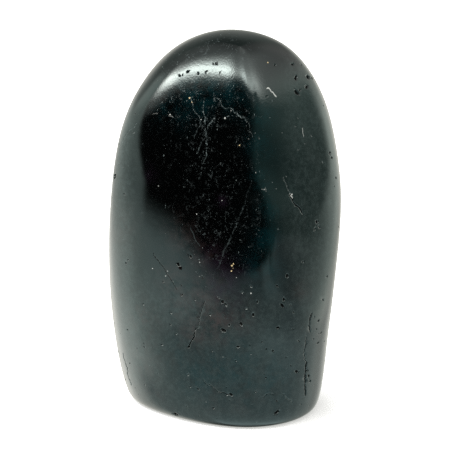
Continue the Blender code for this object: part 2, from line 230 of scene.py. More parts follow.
# Open cracks: the points they run through, then width and depth
FRONT_CRACKS = (
    (((284, 177), (287, 184), (289, 190)), 0.26, 0.16),
    (((290, 195), (292.5, 200.5), (300, 208), (302.5, 214)), 0.5, 0.34),
    (((311.5, 313), (310.5, 322), (311, 331)), 0.42, 0.3),
    (((306.5, 337), (305, 350), (305.5, 362)), 0.34, 0.25),
    (((306.5, 363), (305.5, 378), (305, 395)), 0.62, 0.36),
    (((203, 380), (217, 390), (230, 395)), 0.26, 0.14),
    (((282, 393), (287, 396), (292.5, 402)), 0.24, 0.14),
    (((263, 397), (268, 394.5), (272.5, 394)), 0.24, 0.14),
    (((205, 301), (201, 312), (197, 328)), 0.26, 0.2),
    (((197, 328), (193, 338), (188, 347)), 0.42, 0.3),
    (((218, 297), (221, 301), (226, 304)), 0.3, 0.2),
    (((123, 353), (126, 364), (128, 375), (131, 385)), 0.36, 0.13),
    (((154, 252), (161, 264), (170, 277), (177, 288)), 0.16, 0.05),
)
AROUND_CRACKS = (
    (((-172, 72), (-175, 63), (-170, 55), (-173, 43)), 0.5, 0.32),
    (((118, 58), (123, 50), (121, 39), (126, 31)), 0.32, 0.2),
    (((-128, 30), (-134, 24), (-131, 13)), 0.3, 0.2),
)

# Healed veins: the points they run through, then width and lightness
FRONT_VEINS = (
    (((205, 95), (203.5, 107), (205, 115), (204.5, 130)), 0.36, 0.9),
    (((204.5, 130), (206, 137), (206, 146), (205, 155), (203, 163)), 0.4, 0.8),
    (((201, 124), (197.5, 131), (195, 138)), 0.3, 0.6),
    (((201, 141), (199, 146), (197, 152)), 0.4, 0.8),
    (((190, 96), (193, 107), (199, 118), (200, 124)), 0.34, 0.6),
    (((206, 132), (209, 124), (214, 118)), 0.36, 0.8),
    (((216, 99), (222, 106), (230, 110), (233, 113)), 0.24, 0.6),
    (((230, 110), (234, 113), (241, 117), (247, 122)), 0.36, 0.8),
    (((247, 122), (251, 131), (255, 140), (259, 147)), 0.2, 0.5),
    (((229, 116), (226, 118), (224, 119)), 0.3, 0.9),
    (((252, 180), (248, 192), (243, 210)), 0.2, 0.3),
    (((243, 208), (238, 221), (231, 238)), 0.34, 0.42),
    (((231, 238), (224, 252), (220, 264)), 0.55, 0.36),
    (((220, 264), (216, 272), (211, 283)), 0.2, 0.25),
    (((213, 172), (216, 180), (219, 187)), 0.3, 0.35),
    (((191, 226), (194, 236), (199, 246)), 0.2, 0.4),
    (((289, 189), (291, 193)), 0.26, 1),
)
AROUND_VEINS = (
    (((-150, 90), (-143, 74), (-149, 58), (-140, 44), (-146, 30)), 0.3, 1),
    (((-143, 74), (-128, 66), (-118, 52)), 0.28, 0.8),
    (((150, 84), (158, 70), (152, 54), (163, 38), (160, 22)), 0.3, 1),
    (((158, 70), (174, 64), (-176, 54)), 0.26, 0.7),
    (((88, 78), (96, 64), (92, 48), (101, 34)), 0.28, 0.8),
    (((-84, 80), (-92, 66), (-87, 52), (-95, 40)), 0.26, 0.7),
)

# White scratches and painted glints: the points they run through, then width and lightness
FRONT_SCRATCHES_AND_GLINTS = (
    # A painted highlight along a chip
    (((266.5, 87.5), (268.5, 90), (270.5, 91.5), (272.5, 92.5), (275.5, 95.5)), 0.34, 1.3),
    # A short cross of painted glint, over this line and the next
    (((262, 189.5), (267, 189.5)), 0.18, 0.3),
    (((265.3, 187), (265.3, 192)), 0.16, 0.25),
    (((168, 114), (170, 114.7), (172.5, 114.2)), 0.2, 0.35),
    (((153, 113), (156.5, 113)), 0.18, 0.22),
    (((302, 128), (303, 135)), 0.2, 0.7),
    (((291, 193), (293, 196.5)), 0.3, 1),
)

# Light flecks, some of them painted glints, and tan inclusions on the front: pixel across and down,
# then width
FLECKS_AND_GLINTS = (
    (251, 293.5, 0.4), (173, 281.5, 0.36), (251, 354.5, 0.36), (223, 357, 0.3),
    (206, 402, 0.36), (292, 194.5, 0.5), (196.5, 214, 0.42), (158.5, 186, 0.36),
    (194, 254.5, 0.34), (199.5, 262.5, 0.3), (152.5, 268.5, 0.34), (167.5, 271, 0.36),
    # The second fleck in this row is a painted glint, at the middle of that cross
    (199.5, 276.5, 0.34), (264.5, 189.5, 0.4), (256, 172.5, 0.34), (236.5, 277.5, 0.3),
    (170, 114.5, 0.36), (225, 118, 0.45), (201, 119.5, 0.4), (231, 110.5, 0.34),
    (165.5, 276, 0.28), (146, 300.5, 0.3), (222, 200.5, 0.3), (248.5, 139, 0.32),
)
INCLUSIONS = (
    (233.3, 264, 0.4), (231.7, 265.6, 0.62), (232.9, 268.3, 0.42), (231.3, 271, 0.46),
    (189.5, 98, 0.4), (192, 102.3, 0.4), (239.3, 145.2, 0.4), (268, 62.5, 0.4),
)

# A fleck's spot reaches out by its width over the first value, and its edge is ragged
FLECK_SHARPNESS = 2.2
FLECK_RAGGEDNESS = 0.8
FLECK_RAG = 0.35

# Where fine dust lies thick in the polish, with painted sparkle on the crown and under its highlight:
# pixel across and down, then reach and amount
DUST_AND_SPARKLE_SPOTS = (
    (165, 102, 5, 1), (185, 96, 6, 1.2), (210, 94, 6, 1.2), (235, 98, 6, 1),
    (200, 120, 6, 1.2), (204, 145, 5, 1), (208, 175, 6, 1), (230, 180, 6, 0.8),
    (215, 205, 8, 1.1), (218, 235, 8, 1.2), (245, 225, 7, 0.9), (253, 165, 4, 0.9),
    (185, 150, 9, 0.3), (240, 145, 6, 0.5), (200, 255, 5, 0.8), (236, 258, 5, 0.9),
    # The last two spots here and the whole next row lay light dust dots as painted sparkle of the
    # crown's highlight
    (190, 220, 7, 0.6), (165, 115, 6, 0.6), (200, 56, 8, 1.1), (178, 68, 6, 1),
    (225, 54, 7, 1), (172, 88, 4, 1), (200, 87, 4, 1.2), (226, 86, 4, 1.2),
)

# A little dust lies everywhere else, in patches of this size
DUST_EVERYWHERE = 0.09
DUST_PATCHES = 9.0

# Faint clouds of colour in the polish: pixel across and down, then reach and amount
BROWN_CLOUDS = (
    (205, 300, 6, 0.9), (215, 322, 6, 1), (235, 320, 5, 0.6), (195, 330, 5, 0.8),
    (180, 305, 5, 0.7), (175, 285, 6, 0.6), (140, 320, 7, 0.6), (140, 360, 7, 0.7),
    (150, 390, 5, 0.5), (318, 330, 5, 0.5), (304, 290, 3, 0.6), (180, 240, 5, 0.35),
    (200, 258, 4, 0.4), (120, 230, 7, 0.4), (245, 405, 6, 0.35), (210, 405, 5, 0.35),
)
# The spots just under the crown's highlight paint the teal of its reflected glow; the rest are tone in
# the stone
TEAL_CLOUDS_AND_GLOW_TINT = (
    (180, 358, 7, 1), (205, 375, 9, 1.2), (240, 375, 9, 1.2), (270, 380, 8, 1.2),
    (235, 350, 5, 0.9), (262, 272, 5, 0.8), (268, 240, 3.5, 0.8), (270, 210, 3, 0.7),
    (262, 180, 3, 0.5), (262, 145, 4, 0.5), (262, 115, 4, 0.6), (200, 92, 5, 1),
    (165, 102, 5, 0.5), (235, 94, 5, 0.5), (182, 106, 5, 0.5), (178, 88, 3.5, 0.8),
    (195, 85, 3.5, 1.2), (212, 84, 3.5, 1.2), (230, 86, 3.5, 1), (243, 88, 3, 0.6),
)
PURPLE_CLOUDS = (
    (222, 285, 5, 1), (212, 262, 4, 0.5), (235, 275, 4, 0.5), (148, 175, 2.5, 0.25),
    (230, 300, 4, 0.6), (222, 201, 1.5, 0.5),
)

# Each kind of cloud: its spots, the size of the noise that breaks it up, and its colour
CLOUD_KINDS = (
    ("teal_and_glow_tint", TEAL_CLOUDS_AND_GLOW_TINT, 4, (0.0004, 0.0072, 0.0086, 1)),
    ("brown", BROWN_CLOUDS, 3, (0.0215, 0.0142, 0.0134, 1)),
    ("purple", PURPLE_CLOUDS, 3.5, (0.0066, 0.0036, 0.0072, 1)),
)

# The bare stone and its pits, and how the painted shade of a pit or crack sets in with its darkness
STONE_COLOUR = (0.0003, 0.0003, 0.0003, 1)
STONE_IOR = 1.63
MIRROR_TINT = (0.55, 0.79, 0.80, 1)
PIT_SHADE_COLOUR = (0.003, 0.0035, 0.0035, 1)
PIT_ROUGHNESS = 0.5
PAINTED_SHADE_STEP = (0.4, 0.95, 0, 0.9)

# Marks in the polish, the upper ones last: strength, colour and added roughness
COATS = (
    # Where the dust lies on the crown and under its highlight, its light dots are painted sparkle
    ("fine dust and sparkle", 0.8, (0.042, 0.052, 0.052, 1), 0.14),
    ("fibres", 0.3, (0.07, 0.085, 0.085, 1), 0.08),
    ("coarse dust and sparkle", 0.8, (0.1, 0.12, 0.115, 1), 0.25),
    ("ticks", 0.8, (0.08, 0.1, 0.1, 1), 0.2),
    ("sparse dots", 1, (0.17, 0.19, 0.18, 1), 0.3),
    ("veins", 1, (0.055, 0.07, 0.07, 1), 0.3),
    # The flecks and white scratches are partly painted glints
    ("flecks_and_glints", 1, (0.42, 0.43, 0.4, 1), 0.3),
    ("inclusions", 1, (0.5, 0.38, 0.2, 1), 0.3),
)

# Noises: size, detail, roughness and shift, and for patches the noise where they start and
# where they are full, with their values there where those aren't 0 and 1
HAZE_PATCHES = (2.4, 8, 0.72, 60, 0.38, 0.68)
MOTTLE_PATCHES = (1.3, 8, 0.8, 95, 0.44, 0.62)
DUST_CLUMPS = (2.6, 3, 0.6, 70, 0.4, 0.6, 0.12, 1)
VEIN_BREAKS = (0.7, 3, 0.75, 17, 0.42, 0.6)
WORN_PATCHES = (7, 4, 0.6, 80, 0.3, 0.7, 0.055, 0.085)
GRAIN_NOISE = (0.5, 2, 0.5, 5)
WAVE_NOISE = (2.2, 1, 0.5, 25)

# A haze in leaning streaks and a fine mottle come in below and beside the dark mirror in front
# This lighter colour goes only where the stone mirrors the lit floor, and stands in part for a painted
# sheen of that reflection
HAZE_BELOW = (46, 34)
HAZE_RIGHT = (13, 19)
HAZE_LEFT = (-21, -26)
HAZE_SHEEN_COLOUR = (0.0115, 0.0135, 0.013, 1)
HAZE_SHARE = 0.45
STREAK_LEAN = 0.6
STREAK_SHAPE = (1, 1, 0.4)
MOTTLE_SHEEN_COLOUR = (0.02, 0.027, 0.026, 1)
MOTTLE_SHARE = 0.4

# The unevenness of the polish: its depth, the share of its waves, and its grain, which gets
# stronger twice with the height
RELIEF = 0.008
WAVE_SHARE = 0.7
CROWN_GRAIN = (82, 91, 0.1, 1)
TOP_GRAIN = (93, 98, 0, 0.8)

# The studio is a dome of light, by azimuth from the front and elevation, in degrees. Overhead
# it is brightest about this azimuth, and dim towards the zenith and behind the stone.
SKY_MIDDLE = 15.0
SKY_BEHIND = (0.48, 0.5, 0.46, 1)
SKY_ASIDE = (1.16, 0.97, 0.92, 1)
SKY_AHEAD = (1.65, 1.28, 1.2)
SKY_SIDES = (140, 85)
SKY_FRONT = (80, 20)
SKY_TOP = (44, 70, 1, 0.62)
SKY_EDGE = (24, 14)
BACK_RISE = (-5, 20)
BACK_LOW = (0.69, 0.71, 0.62, 1)
BACK_HIGH = (0.46, 0.48, 0.44, 1)

# White walls to the left and the right, uneven in places: the azimuths over which each comes in
# and goes out, the same for elevations, its colour, and whether it covers what lies behind it
WALLS = (
    ((-185, -125), (-60, -40), None, (5, 24), (1.9, 1.82, 1.68), True),
    ((-152, -128), (-110, -86), (-11, -1), (6, 16), (0.75, 0.72, 0.66), False),
    ((-170, -130), (-92, -52), (-46, -28), (-23, -5), (1, 0.98, 0.92), False),
    ((-113, -99), (-91, -77), (11, 17), (20, 26), (1.2, 1.15, 1.05), False),
    ((-96, -72), (-60, -40), (-9, -1), (11, 19), (1.08, 1.05, 0.97), True),
    ((58, 62), (138, 178), None, (8, 32), (2.15, 2.06, 1.86), True),
    ((95, 109), (131, 145), (-13, -5), (5, 13), (0.8, 0.76, 0.7), False),
    ((60, 80), (150, 170), None, (-34, -22), (1.1, 1.14, 1.08), True),
    ((104, 132), (165, 178), None, (-31, -12), (0.86, 0.88, 0.82), True),
)

# The lit floor in front: its edges, its light, how it brightens towards the stone's foot, and
# bands near the horizon, by azimuths and elevations with the softness of their sides, and amount
FLOOR_EDGES = ((-95, -45), (60, 108), (-4, 3))
FLOOR_TONE = (0.955, 1, 0.985)
FLOOR_LEVEL = 0.63
NEAR_FLOOR = -20.0
NEAR_FLOOR_SPAN = 38.0
NEAR_FLOOR_RISE = 1.3
FLOOR_BANDS = (
    ((-8, 46, 14), (-17, -5, 6), 0.17),
    ((-72, -48, 14), (-19, -5, 6), 0.5),
    ((-42, -14, 14), (-21, -4, 7), -0.2),
    ((54, 90, 16), (-13, -1, 6), -0.25),
)

# A corner of the floor to the left, as a row of walls, and the darkening straight below
LOW_CORNER = (((-108, -84), (-54, -40), None, (-37, -26), (1.02, 1.06, 1.02), True),)
UNDERSIDE = (-60, -76, 1, 0.25)

# The arch of the lamps: its elevation rises and falls with the azimuth, and bulges on the left
ARCH_RISE = (-96, 12, 15.8, 30)
ARCH_FALL = (38, 84, 0, 12.5)
ARCH_BULGE = (-69, -14, 8)
ARCH_BULGE_HEIGHT = 1.1

# The dark room under the arch: its sill falls, rises and dips with the azimuth, and its left
# side and right end move with the elevation
SILL_FALL = (-61, -34, -3.8, -10.4)
SILL_RISE = (-40, -14, 0, 5.4)
SILL_DIP = (26, 50, 12)
SILL_DIP_DEPTH = 2.5
ROOM_SIDE = -69.5
ROOM_END = (-2, 6, 88, 100)
ROOM_EDGE = 5.5
ROOM_SIDE_EDGE = 4.0
ROOM_END_EDGE = 15.0
ALL_ROUND = 300.0
ROOM_SHADES = ((-45, 55), (48, 88), (3, 18, 0.62, 1.05))
ROOM_LEFT = (0.003, 0.005, 0.005, 1)
ROOM_MIDDLE = (0.21, 0.33, 0.31, 1)
ROOM_RIGHT = (0.56, 0.65, 0.59, 1)

# The soft box along the arch, in three parts: the azimuths over which each comes in and goes
# out, and its light. It is full up to this height above the arch, and fades beyond it.
BOX_PARTS = (
    ((-87, -77), (-43, -38.5), (27, 21.5, 20)),
    ((-51, -37), (57, 71), (4.9, 3.9, 3.6)),
    ((-37, -27), (-19, -9), (6.5, 5.3, 5)),
)
BOX_HEIGHT = 4.0
BOX_FADING = (-78, -42, 0.7, 0.82)
BOX_EDGE = (-3, 3.2, 0, 0.93)
BOX_HALO = (-7, -1, 0, 0.07)

# What lights the floor: even light all round, and a panel overhead, in metres
EVEN_LIGHT = (1, 1, 0.985, 1)
PANEL_SIDE = 0.9
PANEL_POWER = 22.0
PANEL_PLACE = (-0.35, 0, 0.8)


def smooth_curve(knots, values, at):
    """Cubic curve through the points, with continuous curvature and level ends."""
    knots = np.asarray(knots, float)
    values = np.asarray(values, float)
    gaps = np.diff(knots)
    count = len(knots)
    system = np.eye(count)
    target = np.zeros(count)
    for i in range(1, count - 1):
        system[i, i - 1] = 1.0 / gaps[i - 1]
        system[i, i] = 2.0 / gaps[i - 1] + 2.0 / gaps[i]
        system[i, i + 1] = 1.0 / gaps[i]
        target[i] = 3.0 * (
            (values[i] - values[i - 1]) / gaps[i - 1] ** 2
            + (values[i + 1] - values[i]) / gaps[i] ** 2
        )
    slopes = np.linalg.solve(system, target)
    span = np.clip(np.searchsorted(knots, at, side="right") - 1, 0, count - 2)
    width = gaps[span]
    t = (at - knots[span]) / width
    return (
        values[span] * (1.0 + 2.0 * t) * (1.0 - t) ** 2
        + slopes[span] * width * t * (1.0 - t) ** 2
        + values[span + 1] * t * t * (3.0 - 2.0 * t)
        + slopes[span + 1] * width * t * t * (t - 1.0)
    )


def outline_radius(outline, polar):
    """Distance from the core point to an outline, at a polar angle from straight up."""
    points = [(0.0, CROWN_HEIGHT)] + list(outline) + [(0.0, -BELOW_BASE)]
    angles = [math.atan2(across, height - CORE_HEIGHT) for across, height in points]
    radii = [math.hypot(across, height - CORE_HEIGHT) for across, height in points]
    return smooth_curve(angles, radii, polar)


def ease(share):
    """A smooth step from 0 to 1, with no kink in its bend."""
    share = np.clip(share, 0.0, 1.0)
    return share ** 3 * (10.0 - 15.0 * share + 6.0 * share ** 2)


def body_inverse(direction):
    """One over the radius of the rounded body, along each unit direction."""
    polar = np.arccos(np.clip(direction[:, 2], -1.0, 1.0))
    flat = np.maximum(np.hypot(direction[:, 0], direction[:, 1]), 1e-9)
    side = direction[:, 0] / flat
    front = -direction[:, 1] / flat
    across = (
        outline_radius(LEFT_OUTLINE, polar) * (1.0 - side) / 2.0
        + outline_radius(RIGHT_OUTLINE, polar) * (1.0 + side) / 2.0
    )
    deep = (
        outline_radius(FRONT_OUTLINE, polar) * (1.0 + front) / 2.0
        + outline_radius(BACK_OUTLINE, polar) * (1.0 - front) / 2.0
    )
    share = ease(np.degrees(polar) / CROWN_ANGLE)
    first, last = TURNING_ANGLES
    lower = ease((np.degrees(polar) - first) / (last - first))
    turn = share * (SECTION_TURN + (BASE_TURN - SECTION_TURN) * lower)
    turned = 2.0 * turn * side * front / (across * deep)
    inverse = np.sqrt(((side / across) ** 2 + (front / deep) ** 2 - turned) / (1.0 - turn ** 2))
    fuller = SQUARENESS * share * (1.0 - lower) * (2.0 * side * front) ** 2
    return inverse / (1.0 + fuller)


def face_inverse(direction, azimuth, tilt, distance, across, along, shift=0.0):
    """One over the distance to a slightly domed ground face, along each unit direction."""
    azimuth = math.radians(azimuth)
    tilt = math.radians(tilt)
    normal = np.array((
        math.sin(azimuth) * math.cos(tilt), -math.cos(azimuth) * math.cos(tilt), math.sin(tilt),
    ))
    level = np.array((math.cos(azimuth), math.sin(azimuth), 0.0))
    upward = np.cross(level, normal)
    facing = direction @ normal
    distance = distance + shift
    doming = (direction @ level) ** 2 / (2.0 * across) + (direction @ upward) ** 2 / (2.0 * along)
    return (facing + np.sqrt(facing ** 2 + 4.0 * doming * distance)) / (2.0 * distance)


def soft_join(inverses, power):
    """Cut several surfaces by each other, with a rounded edge where they meet."""
    largest = np.max(inverses, axis=0)
    return largest * sum((inverse / largest) ** power for inverse in inverses) ** (1.0 / power)


def ridge_wander(direction, body):
    """How far the front ridge is pushed to the right, fading out on both sides of it."""
    height = CORE_HEIGHT + direction[:, 2] / body
    azimuth = np.degrees(np.arctan2(direction[:, 0], -direction[:, 1]))
    near = np.exp(-((azimuth - RIDGE_AZIMUTH) / RIDGE_REACH) ** 2)
    low, high = WANDER_SPAN
    along = 1.0 / (1.0 + np.exp((low - height) / WANDER_FADE))
    along = along / (1.0 + np.exp((height - high) / WANDER_FADE))
    return WANDER * near * along * np.cos(2.0 * math.pi * (height - WANDER_HEIGHT) / WANDER_LENGTH)


def stone_radius(direction):
    """Radius of the stone from the core point, along each unit direction."""
    body = body_inverse(direction)
    push = ridge_wander(direction, body) / 2.0
    front = soft_join(
        [
            face_inverse(direction, shift=-push, **FRONT_LEFT_FACE),
            face_inverse(direction, shift=push, **RIGHT_FACE),
        ],
        RIDGE_POWER,
    )
    back = soft_join(
        [face_inverse(direction, **BACK_LEFT_FACE), face_inverse(direction, **BACK_RIGHT_FACE)],
        BACK_RIDGE_POWER,
    )
    body = soft_join([body, front, back], BODY_POWER)
    base = np.maximum(-direction[:, 2], 1e-6) / CORE_HEIGHT
    return 1.0 / soft_join([body, base], BASE_POWER)


def stone_points(direction):
    """Points of the stone's skin, along each unit direction."""
    points = CORE + direction * stone_radius(direction)[:, None]
    points[:, 2] -= FOOT_CUT
    points[points[:, 2] < FLAT_SNAP, 2] = 0.0
    return points


def unit(vectors):
    """The vectors at a length of 1."""
    return vectors / np.linalg.norm(vectors, axis=1)[:, None]


def settled(points):
    """The points, moved along their radius onto the exact skin."""
    return stone_points(unit(points - CORE))


def height_above_skin(points):
    """How far points lie outside the skin, along their radius."""
    offsets = points - CORE
    radii = np.linalg.norm(offsets, axis=1)
    return radii - stone_radius(offsets / radii[:, None])


def closed_in(low, high, before):
    """Bounds around the place where something ends, closed in on it by halves."""
    for _ in range(HALVINGS):
        middle = (low + high) / 2.0
        there = before(middle)
        low = np.where(there, middle, low)
        high = np.where(there, high, middle)
    return low, high


def first_crossings(starts, steps, count):
    """Walk along lines until each enters the skin, then close in on those points."""
    def outside(shares):
        return height_above_skin(starts + steps * shares[:, None]) > 0.0

    low = np.zeros(len(starts))
    waiting = np.ones(len(starts), bool)
    for number in range(1, count):
        waiting &= outside(np.full(len(starts), number))
        low[waiting] = number
    return starts + steps * closed_in(low, low + 1.0, outside)[1][:, None]


def camera_axes():
    """Where the camera stands, and its directions ahead, up and to the right."""
    rise = math.radians(PICTURE_RISE)
    ahead = np.array((0.0, math.cos(rise), -math.sin(rise)))
    upward = np.array((0.0, math.sin(rise), math.cos(rise)))
    rightward = np.array((1.0, 0.0, 0.0))
    return np.array(PICTURE_AIM) - PICTURE_DISTANCE * ahead, ahead, upward, rightward


def front_points(pixels):
    """The points of the skin seen at pixels of the picture."""
    pixels = np.asarray(pixels, float) - PICTURE_SIZE / 2.0
    eye, ahead, upward, rightward = camera_axes()
    sights = ahead + (rightward * pixels[:, :1] - upward * pixels[:, 1:]) / PICTURE_FOCUS
    return first_crossings(eye + sights * (PICTURE_DISTANCE - OUTSIDE), sights, int(2.0 * OUTSIDE))


def around_points(places):
    """The points of the skin at azimuths and heights, met from outside."""
    azimuths, heights = np.asarray(places, float).T
    azimuths = np.radians(azimuths)
    outward = np.stack([np.sin(azimuths), -np.cos(azimuths), 0.0 * azimuths], axis=1)
    axis = np.stack([AXIS[0] + 0.0 * heights, AXIS[1] + 0.0 * heights, heights], axis=1)
    return first_crossings(axis + outward * OUTSIDE, -outward, int(OUTSIDE))


def base_rim(side, front):
    """How far from the axis the flat base ends, along level directions."""
    def flat(reaches):
        offsets = np.stack([side * reaches, front * reaches, np.full(len(side), -CORE_HEIGHT)], axis=1)
        return stone_points(unit(offsets))[:, 2] <= 0.0

    low, high = (np.full(len(side), bound) for bound in RIM_SEARCH)
    return closed_in(low, high, flat)[0]


def round_square(cells):
    """Points of a square grid, moved so that its outline becomes a circle of radius 1."""
    line = np.linspace(-1.0, 1.0, cells + 1)
    u, v = np.meshgrid(line, line, indexing="ij")
    return np.stack([u * np.sqrt(1.0 - v ** 2 / 2.0), v * np.sqrt(1.0 - u ** 2 / 2.0)], axis=-1)


def skin_layout(cells, rows):
    """Directions and four-sided faces of a closed skin: domed top, wall and flat base."""
    disc = round_square(cells)
    across = TOP_HALF_WIDTH * disc[..., 0].ravel()
    deep = TOP_HALF_DEPTH * disc[..., 1].ravel()
    shoulder = TOP_SHOULDER - CORE_HEIGHT
    rise = TOP_RISE * (1.0 - (disc ** 2).sum(axis=-1).ravel())
    top = np.stack([across, deep, shoulder + rise], axis=1)

    reach = np.maximum(np.hypot(across, deep), 1e-9)
    rim = base_rim(across / reach, deep / reach)
    filled = rim * np.sqrt((disc ** 2).sum(axis=-1).ravel())
    base = np.stack([across / reach * filled, deep / reach * filled], axis=1)
    base = np.column_stack([base, np.full(len(base), -CORE_HEIGHT)])

    number = np.arange((cells + 1) ** 2).reshape(cells + 1, cells + 1)
    edge = np.concatenate([number[:-1, 0], number[-1, :-1], number[:0:-1, -1], number[0, :0:-1]])
    offsets = [top, base]
    rings = [edge]
    for row in range(1, rows):
        left = (1.0 - row / rows) ** ROW_CROWDING
        level = np.empty((len(edge), 3))
        level[:, :2] = base[edge, :2] + (top[edge, :2] - base[edge, :2]) * left
        level[:, 2] = left * TOP_SHOULDER - CORE_HEIGHT
        rings.append(2 * number.size + (row - 1) * len(edge) + np.arange(len(edge)))
        offsets.append(level)
    rings.append(edge + number.size)

    corners = number[:-1, :-1], number[1:, :-1], number[1:, 1:], number[:-1, 1:]
    top_faces = np.stack([corner.ravel() for corner in corners], axis=1)
    faces = [top_faces, top_faces[:, ::-1] + number.size]
    for above, below in zip(rings[:-1], rings[1:]):
        faces.append(np.stack([above, below, np.roll(below, -1), np.roll(above, -1)], axis=1))
    offsets = np.concatenate(offsets)
    return unit(offsets), np.concatenate(faces)


def lattice_noise(points, size, seed):
    """Smooth noise from -1 to 1 at points, with cells of the given size."""
    side = 64
    table = np.random.default_rng(seed).uniform(-1.0, 1.0, (side, side, side))
    cells = points / size
    corner = np.floor(cells).astype(int)
    share = ease(cells - corner)
    total = np.zeros(len(points))
    for step in itertools.product((0, 1), repeat=3):
        weight = np.prod(np.where(np.array(step) > 0, share, 1.0 - share), axis=1)
        x, y, z = ((corner + step) % side).T
        total += weight * table[x, y, z]
    return total


def line_samples(points, spacing):
    """Points along a line on the skin, close enough together to be followed."""
    run = []
    for start, end in zip(points[:-1], points[1:]):
        pieces = max(1, math.ceil(np.linalg.norm(end - start) / spacing))
        run.append(start + (end - start) * (np.arange(pieces) / pieces)[:, None])
    return settled(np.concatenate(run + [points[-1:]]))


def wavering(points, reach, size, seed):
    """The points of a line, moved a little off it, as natural lines run."""
    moves = [lattice_noise(points, size, seed + i) for i in range(3)]
    return settled(points + reach * np.stack(moves, axis=1))


def split_triangles(triangles, middles):
    """Split triangles at the middles of their sides; -1 stands for a side that stays whole."""
    pieces = [triangles[(middles < 0).all(axis=1)]]
    for turn in range(3):
        a, b, c = np.roll(triangles, -turn, axis=1).T
        ab, bc, ca = np.roll(middles, -turn, axis=1).T
        one = (ab >= 0) & (bc < 0) & (ca < 0)
        two = (ab >= 0) & (bc >= 0) & (ca < 0)
        pieces += [np.stack(corners, axis=1)[one] for corners in ((a, ab, c), (ab, b, c))]
        pieces += [
            np.stack(corners, axis=1)[two] for corners in ((ab, b, bc), (a, ab, bc), (a, bc, c))
        ]
    whole = (middles >= 0).all(axis=1)
    a, b, c = triangles[whole].T
    ab, bc, ca = middles[whole].T
    corners = ((a, ab, ca), (ab, b, bc), (ca, bc, c), (ab, bc, ca))
    return np.concatenate(pieces + [np.stack(three, axis=1) for three in corners])


def point_tree(points):
    """A search tree over points."""
    tree = KDTree(len(points))
    for number, point in enumerate(points):
        tree.insert(point, number)
    tree.balance()
    return tree


def numbers_near(tree, place, reach):
    """The numbers of a tree's points within reach of a place."""
    return np.array([number for _, number, _ in tree.find_range(place, reach)], int)


def split_near_marks(points, triangles, places, halves, limit):
    """Halve every side beside a mark that is longer than the limit."""
    sides = np.stack([triangles, np.roll(triangles, -1, axis=1)], axis=2).reshape(-1, 2)
    edges, which = np.unique(np.sort(sides, axis=1), axis=0, return_inverse=True)
    starts, ends = points[edges].transpose(1, 0, 2)
    along = ends - starts
    lengths = np.linalg.norm(along, axis=1)
    tree = point_tree((starts + ends) / 2.0)
    longest = lengths.max()
    chosen = np.zeros(len(edges), bool)
    for place, half in zip(places, halves):
        near = numbers_near(tree, place, half + MARK_MARGIN + longest / 2.0)
        if len(near) == 0:
            continue
        share = ((place - starts[near]) * along[near]).sum(axis=1) / lengths[near] ** 2
        nearest = starts[near] + along[near] * np.clip(share, 0.0, 1.0)[:, None]
        gap = np.linalg.norm(nearest - place, axis=1) - half
        chosen[near] |= (lengths[near] > limit) & (gap < MARK_MARGIN)
    numbers = np.full(len(edges), -1)
    numbers[chosen] = len(points) + np.arange(np.count_nonzero(chosen))
    middles = numbers[which.reshape(-1)].reshape(-1, 3)
    points = np.concatenate([points, settled((starts + along / 2.0)[chosen])])
    return points, split_triangles(triangles, middles)


def outward_normals(points, triangles):
    """Unit normals of a mesh's points."""
    first, second, third = points[triangles].transpose(1, 0, 2)
    facing = np.cross(second - first, third - first)
    normals = np.zeros_like(points)
    for corner in triangles.T:
        np.add.at(normals, corner, facing)
    return unit(normals)


def all_pits(skin):
    """Every pit as its place, half width, depth and stretch."""
    front = np.array(LARGE_PITS + SMALL_PITS)
    around = np.array(AROUND_PITS)
    low, high = SCATTERED_WIDTH
    widths = low + (high - low) * RANDOM.random(SCATTERED_PITS) ** 2
    across, depth, height = skin.T
    clean = (np.abs(across - CLEAN_MIDDLE) < CLEAN_HALF) & (depth < 0.0) & (height > CLEAN_ABOVE)
    wall = np.flatnonzero((height > SCATTERED_ABOVE) & ~clean)
    scattered = skin[RANDOM.choice(wall, SCATTERED_PITS, replace=False)]
    places = np.concatenate([front_points(front[:, :2]), around_points(around[:, :2]), scattered])
    halves = np.concatenate([front[:, 2], around[:, 2], widths]) / 2.0
    depths = np.concatenate([front[:, 3], around[:, 3], widths * SCATTERED_DEPTH])
    return places, halves, depths, RANDOM.uniform(*PIT_STRETCH, len(places))


def all_lines(front, around, seed):
    """Lines on the skin as runs of close points, with each run's half width and last value."""
    runs = []
    for lines, place in ((front, front_points), (around, around_points)):
        for number, (corners, width, value) in enumerate(lines):
            samples = line_samples(place(corners), width / 2.0)
            for turn, (reach, size) in enumerate(LINE_WAVERS):
                samples = wavering(samples, reach, size, seed + 50 * turn + number)
            runs.append((samples, width / 2.0, value))
    return runs


def spread_lines(tree, points, runs, seed):
    """Every point's closeness to lines, from 0 at their sides to their value in the middle."""
    field = np.zeros(len(points))
    ragged = 1.0 + RAGGEDNESS * lattice_noise(points, LINE_RAG, seed)
    for samples, half, value in runs:
        for place in samples:
            for _, number, reach in tree.find_range(place, half * RAGGED_REACH):
                share = 1.0 - (reach / (half * ragged[number])) ** 2
                field[number] = max(field[number], value * share)
    return field


def spread_pits(tree, points, normals, pits):
    """Every point's sink into the pits, with ragged, stretched outlines."""
    sink = np.zeros(len(points))
    ragged = 1.0 + RAGGEDNESS * lattice_noise(points, PIT_RAG, 5)
    for place, half, depth, stretch in zip(*pits):
        near = numbers_near(tree, place, half * stretch * RAGGED_REACH)
        if len(near) == 0:
            continue
        lean = RANDOM.normal(size=3)
        lean -= normals[near[0]] * (lean @ normals[near[0]])
        lean /= np.linalg.norm(lean)
        offset = points[near] - place
        along = offset @ lean
        across = np.linalg.norm(offset - along[:, None] * lean, axis=1)
        reach = np.hypot(along / stretch, across) / (half * ragged[near])
        depths = depth * np.clip(BOWL_WALL * (1.0 - reach ** 2), 0.0, 1.0)
        sink[near] = np.maximum(sink[near], depths)
    return sink


